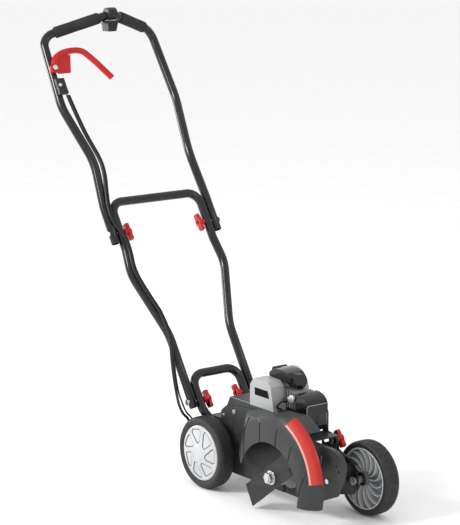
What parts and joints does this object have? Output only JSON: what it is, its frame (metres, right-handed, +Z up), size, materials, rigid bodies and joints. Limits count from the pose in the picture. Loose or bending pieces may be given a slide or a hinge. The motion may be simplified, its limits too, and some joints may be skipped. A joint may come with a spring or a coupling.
{
  "type": "walk-behind lawn edger",
  "caption": "Walk-behind petrol lawn edger with a guarded side blade, belt drive, plastic wheels, folding tube handle, foam grips and a squeeze clutch lever.",
  "frame": {"origin": "on the ground under the middle of the rear axle", "axes": "+X forward, +Y to the operator's left, +Z up; the blade is on the -Y side and the front wheel on the +Y side"},
  "size_m": [1.0919, 0.3746, 1.1281],
  "materials": {
    "black_paint": "gloss",
    "grey_paint": "satin",
    "foam": "matte foam",
    "red_plastic": "gloss",
    "guard_plastic": "satin, lightly textured",
    "silver_plastic": "satin silver",
    "black_plastic": "satin",
    "tyre_rubber": "matte",
    "zinc_steel": "zinc plated",
    "dark_steel": "dark oxide with worn edges",
    "cast_metal": "cast",
    "gloss_black_metal": "gloss",
    "belt_rubber": "matte",
    "cable_skin": "satin",
    "white_ceramic": "glazed"
  },
  "bodies": {
    "chassis": {"deck_frame": "grey_paint", "spindle_housing": "cast_metal", "spindle_bearings": "zinc_steel", "blade_guard": "guard_plastic", "guard_stripe": "red_plastic", "drive_belt": "belt_rubber", "idler_spring": "zinc_steel", "engine_crankcase": "cast_metal", "engine_cylinder": "cast_metal", "starter_housing": "silver_plastic", "engine_shroud": "silver_plastic", "air_filter_cover": "black_plastic", "muffler": "dark_steel", "muffler_guard": "gloss_black_metal", "fuel_tank": "black_plastic", "spark_plug": "white_ceramic", "spark_plug_lead": "cable_skin", "rear_axle": "zinc_steel", "axle_push_nuts": "zinc_steel", "cross_shaft": "zinc_steel", "lower_handle": "black_paint", "lower_handle_bolts": "zinc_steel", "cables_lower": "cable_skin", "deck_fasteners": "zinc_steel"},
    "crank": {"crankshaft": "zinc_steel", "flywheel": "cast_metal", "drive_pulley": "zinc_steel"},
    "blade_set": {"blade_spindle": "zinc_steel", "spindle_pulley": "zinc_steel", "blade": "dark_steel", "blade_nut": "zinc_steel"},
    "idler": {"idler_arm": "zinc_steel"},
    "idler_wheel": {"idler_pulley": "black_plastic"},
    "wheel_rear_right": {"tyre_rear_right": "tyre_rubber", "hub_rear_right": "silver_plastic"},
    "wheel_rear_left": {"tyre_rear_left": "tyre_rubber", "hub_rear_left": "silver_plastic"},
    "wheel_front": {"tyre_front": "tyre_rubber", "hub_front": "silver_plastic"},
    "front_arm": {"front_wheel_arm": "black_paint", "front_arm_bolts": "zinc_steel"},
    "depth_clamp": {"depth_knob": "red_plastic"},
    "handle_middle": {"middle_handle": "black_paint", "middle_handle_bolts": "zinc_steel", "cables_middle": "cable_skin"},
    "handle_upper": {"upper_handle": "black_paint", "grip_right": "foam", "grip_left": "foam", "throttle_box": "black_plastic", "cable_bracket": "black_plastic", "lever_fasteners": "zinc_steel", "cables_upper": "cable_skin"},
    "clamp_lower_right": {"knob_lower_right": "red_plastic"},
    "clamp_lower_left": {"knob_lower_left": "red_plastic"},
    "clamp_upper_right": {"knob_upper_right": "red_plastic"},
    "clamp_upper_left": {"knob_upper_left": "red_plastic"},
    "tank_cap": {"fuel_cap": "black_plastic"},
    "throttle": {"throttle_lever": "black_plastic"},
    "clutch": {"clutch_lever": "red_plastic"},
    "starter_pull_grip": {"starter_grip": "black_plastic"}
  },
  "joints": [
    {"name": "rear_right_spin", "type": "hinge", "parent": "chassis", "child": "wheel_rear_right", "pos_m": [0, -0.0944, 0.0889], "axis": [0, 1, 0], "continuous": true},
    {"name": "rear_left_spin", "type": "hinge", "parent": "chassis", "child": "wheel_rear_left", "pos_m": [0, 0.0944, 0.0889], "axis": [0, 1, 0], "continuous": true},
    {"name": "depth_swing", "type": "hinge", "parent": "chassis", "child": "front_arm", "pos_m": [0.32, 0.04, 0.112], "axis": [0, 1, 0], "range_deg": [-25, 8]},
    {"name": "front_spin", "type": "hinge", "parent": "front_arm", "child": "wheel_front", "pos_m": [0.3964, 0.083, 0.0889], "axis": [0, 1, 0], "continuous": true},
    {"name": "depth_knob_turn", "type": "hinge", "parent": "front_arm", "child": "depth_clamp", "pos_m": [0.321, 0.049, 0.17], "axis": [0, 1, 0], "continuous": true},
    {"name": "crank_spin", "type": "hinge", "parent": "chassis", "child": "crank", "pos_m": [0.152, 0, 0.263], "axis": [0, 1, 0], "continuous": true},
    {"name": "blade_spin", "type": "hinge", "parent": "chassis", "child": "blade_set", "pos_m": [0.275, -0.098, 0.0945], "axis": [0, 1, 0], "continuous": true},
    {"name": "idler_swing", "type": "hinge", "parent": "chassis", "child": "idler", "pos_m": [0.1532, -0.042, 0.17555], "axis": [0, -1, 0], "range_deg": [0, 4.8]},
    {"name": "idler_pulley_spin", "type": "hinge", "parent": "idler", "child": "idler_wheel", "pos_m": [0.18302, -0.033, 0.12934], "axis": [0, 1, 0], "continuous": true},
    {"name": "middle_fold", "type": "hinge", "parent": "chassis", "child": "handle_middle", "pos_m": [-0.062, 0, 0.201], "axis": [0, 1, 0], "range_deg": [0, 90]},
    {"name": "upper_fold", "type": "hinge", "parent": "handle_middle", "child": "handle_upper", "pos_m": [-0.30575, 0, 0.58957], "axis": [0, -1, 0], "range_deg": [0, 120]},
    {"name": "knob_lower_right_turn", "type": "hinge", "parent": "chassis", "child": "clamp_lower_right", "pos_m": [-0.062, -0.052, 0.201], "axis": [0, 1, 0], "continuous": true},
    {"name": "knob_lower_left_turn", "type": "hinge", "parent": "chassis", "child": "clamp_lower_left", "pos_m": [-0.062, 0.052, 0.201], "axis": [0, 1, 0], "continuous": true},
    {"name": "knob_upper_right_turn", "type": "hinge", "parent": "handle_middle", "child": "clamp_upper_right", "pos_m": [-0.30575, -0.117, 0.58957], "axis": [0, 1, 0], "continuous": true},
    {"name": "knob_upper_left_turn", "type": "hinge", "parent": "handle_middle", "child": "clamp_upper_left", "pos_m": [-0.30575, 0.117, 0.58957], "axis": [0, 1, 0], "continuous": true},
    {"name": "fuel_cap_turn", "type": "hinge", "parent": "chassis", "child": "tank_cap", "pos_m": [0.217, 0.09, 0.205], "axis": [0, 1, 0], "continuous": true},
    {"name": "throttle_swing", "type": "hinge", "parent": "handle_upper", "child": "throttle", "pos_m": [-0.543, -0.007, 1.085], "axis": [0, 1, 0], "range_deg": [-12, 12]},
    {"name": "clutch_squeeze", "type": "hinge", "parent": "handle_upper", "child": "clutch", "pos_m": [-0.53891, -0.173, 0.98196], "axis": [0.8471, 0, 0.5314], "range_deg": [0, 18], "stiffness_Nm_per_rad": 3},
    {"name": "starter_pull", "type": "slide", "parent": "chassis", "child": "starter_pull_grip", "axis": [-0.5314, 0, 0.8471], "range_m": [0, 0.07], "stiffness_N_per_m": 60, "springref_m": -0.05}
  ],
  "couplings": [
    {"joint": "blade_spin", "follows": "crank_spin", "ratio": 0.63526},
    {"joint": "idler_swing", "follows": "clutch_squeeze", "ratio": 0.266}
  ]
}
